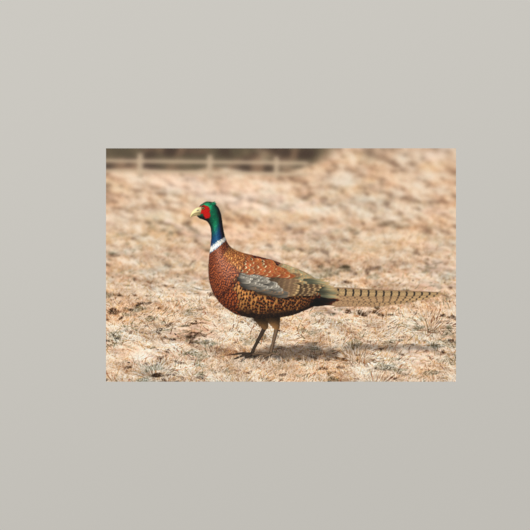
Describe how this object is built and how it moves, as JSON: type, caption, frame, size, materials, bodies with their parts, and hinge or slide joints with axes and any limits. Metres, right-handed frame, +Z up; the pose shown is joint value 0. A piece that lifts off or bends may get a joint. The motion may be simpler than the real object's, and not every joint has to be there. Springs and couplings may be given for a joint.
{
  "type": "wall print",
  "caption": "Frameless landscape wall print in the 3:2 format: one thin matt self-adhesive sheet that lies flat on a wall.",
  "frame": {"origin": "centre of the back face, on the wall plane", "axes": "+X to the right along the sheet's long side as seen from the room, +Y into the wall, +Z up; the printed face looks along -Y"},
  "size_m": [0.9144, 0.0008, 0.6096],
  "materials": {
    "print": "matt printed film with a white cut edge and a white adhesive back"
  },
  "bodies": {
    "root": {"print_sheet": "print"}
  },
  "joints": []
}
